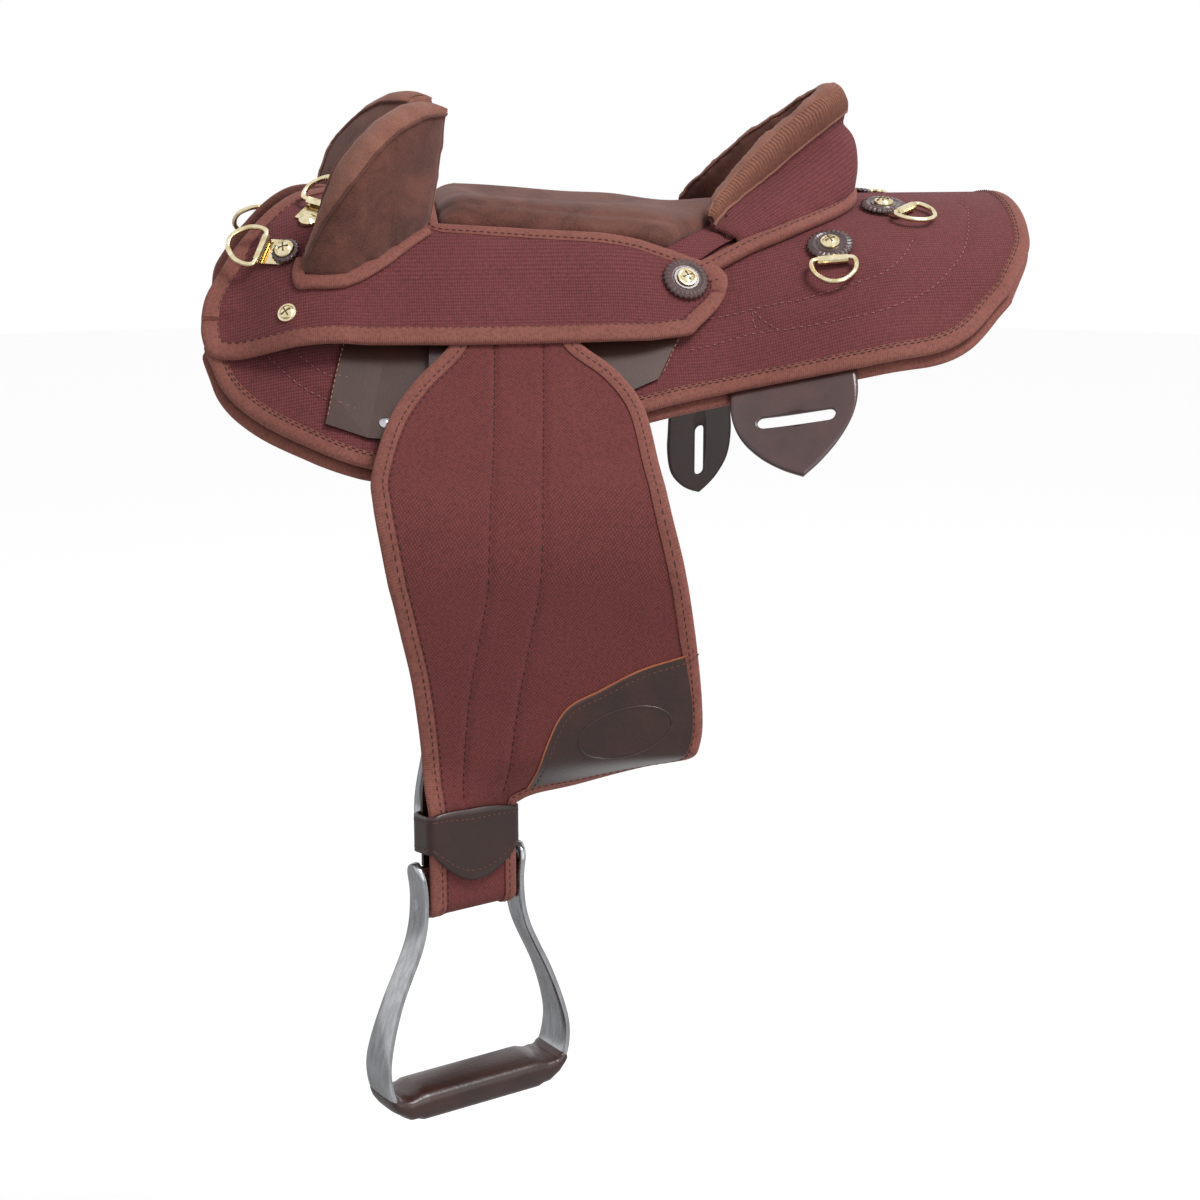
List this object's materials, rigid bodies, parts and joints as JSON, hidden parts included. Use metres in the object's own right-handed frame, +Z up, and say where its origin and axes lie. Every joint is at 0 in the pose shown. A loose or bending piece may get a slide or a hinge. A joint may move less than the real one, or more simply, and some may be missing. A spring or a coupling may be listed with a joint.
{
  "type": "half breed saddle",
  "caption": "Cloth-covered riding saddle with padded seat, cantle and knee pads, hanging fenders with metal stirrups, brass dee rings and slotted girth flaps.",
  "frame": {"origin": "the horse's spine line under the middle of the seat, where the panels meet", "axes": "+X toward the cantle (rear), +Y toward the far (right) side of the horse, +Z up"},
  "size_m": [0.6752, 0.6807, 0.7797],
  "materials": {
    "brass": "polished",
    "brown_fleece": "wool pile",
    "brown_suede": "napped",
    "brushed_aluminium": "brushed",
    "burgundy_cordura": "woven, matte",
    "dark_leather": "semi-gloss",
    "flap_leather": "glossy",
    "moulded_plastic": "matte",
    "stainless_steel": "polished"
  },
  "bodies": {
    "saddle": {"left_skirt": "burgundy_cordura", "left_panel": "brown_fleece", "right_skirt": "burgundy_cordura", "right_panel": "brown_fleece", "left_rigging_plate": "dark_leather", "right_rigging_plate": "dark_leather", "left_rear_flap": "flap_leather", "right_keeper_flap": "dark_leather", "tree": "moulded_plastic", "jockey": "burgundy_cordura", "seat": "brown_suede", "cantle_cover": "brown_suede", "left_knee_pad": "brown_suede", "right_knee_pad": "brown_suede", "left_front_dee_clip": "brass", "left_front_dee_rosette": "dark_leather", "left_front_dee_screw": "brass", "left_rear_lower_dee_clip": "brass", "left_rear_lower_dee_rosette": "dark_leather", "left_rear_lower_dee_screw": "brass", "left_rear_upper_dee_clip": "brass", "left_rear_upper_dee_rosette": "dark_leather", "left_rear_upper_dee_screw": "brass", "left_jockey_front_screw": "brass", "left_jockey_rear_rosette": "dark_leather", "left_jockey_rear_screw": "brass", "right_front_dee_clip": "brass", "right_front_dee_rosette": "dark_leather", "right_front_dee_screw": "brass", "right_rear_lower_dee_clip": "brass", "right_rear_lower_dee_rosette": "dark_leather", "right_rear_lower_dee_screw": "brass", "right_rear_upper_dee_clip": "brass", "right_rear_upper_dee_rosette": "dark_leather", "right_rear_upper_dee_screw": "brass", "right_jockey_front_screw": "brass", "right_jockey_rear_rosette": "dark_leather", "right_jockey_rear_screw": "brass", "left_pommel_dee_clip": "brass"},
    "left_leather": {"left_fender": "burgundy_cordura", "left_stirrup_leather": "dark_leather", "left_buckle_plate": "stainless_steel"},
    "left_sleeve": {"left_buckle_sleeve": "stainless_steel"},
    "left_hobble": {"left_hobble_strap": "dark_leather"},
    "left_stirrup": {"left_stirrup_frame": "brushed_aluminium", "left_tread_cover": "dark_leather"},
    "right_leather": {"right_fender": "burgundy_cordura", "right_stirrup_leather": "dark_leather", "right_buckle_plate": "stainless_steel"},
    "right_sleeve": {"right_buckle_sleeve": "stainless_steel"},
    "right_hobble": {"right_hobble_strap": "dark_leather"},
    "right_stirrup": {"right_stirrup_frame": "brushed_aluminium", "right_tread_cover": "dark_leather"},
    "left_front_dee_ring": {"left_front_dee_ring": "brass"},
    "left_rear_lower_dee_ring": {"left_rear_lower_dee_ring": "brass"},
    "left_rear_upper_dee_ring": {"left_rear_upper_dee_ring": "brass"},
    "right_front_dee_ring": {"right_front_dee_ring": "brass"},
    "right_rear_lower_dee_ring": {"right_rear_lower_dee_ring": "brass"},
    "right_rear_upper_dee_ring": {"right_rear_upper_dee_ring": "brass"},
    "left_pommel_dee_ring": {"left_pommel_dee_ring": "brass"}
  },
  "joints": [
    {"name": "left_fender_swing", "type": "hinge", "parent": "saddle", "child": "left_leather", "pos_m": [-0.1119, -0.1229, -0.01778], "axis": [0, -0.788, 0.6157], "range_deg": [-8, 8]},
    {"name": "left_sleeve_slide", "type": "slide", "parent": "left_leather", "child": "left_sleeve", "axis": [0, 0, 1], "range_m": [0, 0.03]},
    {"name": "left_hobble_slide", "type": "slide", "parent": "left_leather", "child": "left_hobble", "axis": [0, 0, 1], "range_m": [0, 0.0025]},
    {"name": "left_stirrup_swing", "type": "hinge", "parent": "left_leather", "child": "left_stirrup", "pos_m": [-0.12213, -0.26614, -0.488], "axis": [0.891, 0.454, 0], "range_deg": [-45, 45]},
    {"name": "right_fender_swing", "type": "hinge", "parent": "saddle", "child": "right_leather", "pos_m": [-0.0947, 0.1229, -0.01778], "axis": [0, 0.788, 0.6157], "range_deg": [-8, 8]},
    {"name": "right_sleeve_slide", "type": "slide", "parent": "right_leather", "child": "right_sleeve", "axis": [0, 0, 1], "range_m": [0, 0.03]},
    {"name": "right_hobble_slide", "type": "slide", "parent": "right_leather", "child": "right_hobble", "axis": [0, 0, 1], "range_m": [0, 0.0025]},
    {"name": "right_stirrup_swing", "type": "hinge", "parent": "right_leather", "child": "right_stirrup", "pos_m": [-0.1019, 0.27236, -0.488], "axis": [0.2079, -0.9781, 0], "range_deg": [-45, 45]},
    {"name": "left_front_dee_hinge", "type": "hinge", "parent": "saddle", "child": "left_front_dee_ring", "pos_m": [-0.2667, -0.10927, -0.00225], "axis": [0.3513, 0.5949, 0.723], "range_deg": [0, 115]},
    {"name": "left_rear_lower_dee_hinge", "type": "hinge", "parent": "saddle", "child": "left_rear_lower_dee_ring", "pos_m": [0.1851, -0.13666, -0.01331], "axis": [-0.9888, 0.1248, -0.0824], "range_deg": [0, 115]},
    {"name": "left_rear_upper_dee_hinge", "type": "hinge", "parent": "saddle", "child": "left_rear_upper_dee_ring", "pos_m": [0.25732, -0.07768, 0.02041], "axis": [-0.7313, -0.6612, -0.1674], "range_deg": [0, 115]},
    {"name": "right_front_dee_hinge", "type": "hinge", "parent": "saddle", "child": "right_front_dee_ring", "pos_m": [-0.2667, 0.10927, -0.00225], "axis": [-0.3513, 0.5949, -0.723], "range_deg": [0, 115]},
    {"name": "right_rear_lower_dee_hinge", "type": "hinge", "parent": "saddle", "child": "right_rear_lower_dee_ring", "pos_m": [0.1851, 0.13666, -0.01331], "axis": [0.9888, 0.1248, 0.0824], "range_deg": [0, 115]},
    {"name": "right_rear_upper_dee_hinge", "type": "hinge", "parent": "saddle", "child": "right_rear_upper_dee_ring", "pos_m": [0.25732, 0.07768, 0.02041], "axis": [0.7313, -0.6612, 0.1674], "range_deg": [0, 115]},
    {"name": "left_pommel_dee_hinge", "type": "hinge", "parent": "saddle", "child": "left_pommel_dee_ring", "pos_m": [-0.21932, -0.07888, 0.02936], "axis": [0.8528, -0.4802, -0.2053], "range_deg": [0, 115]}
  ]
}
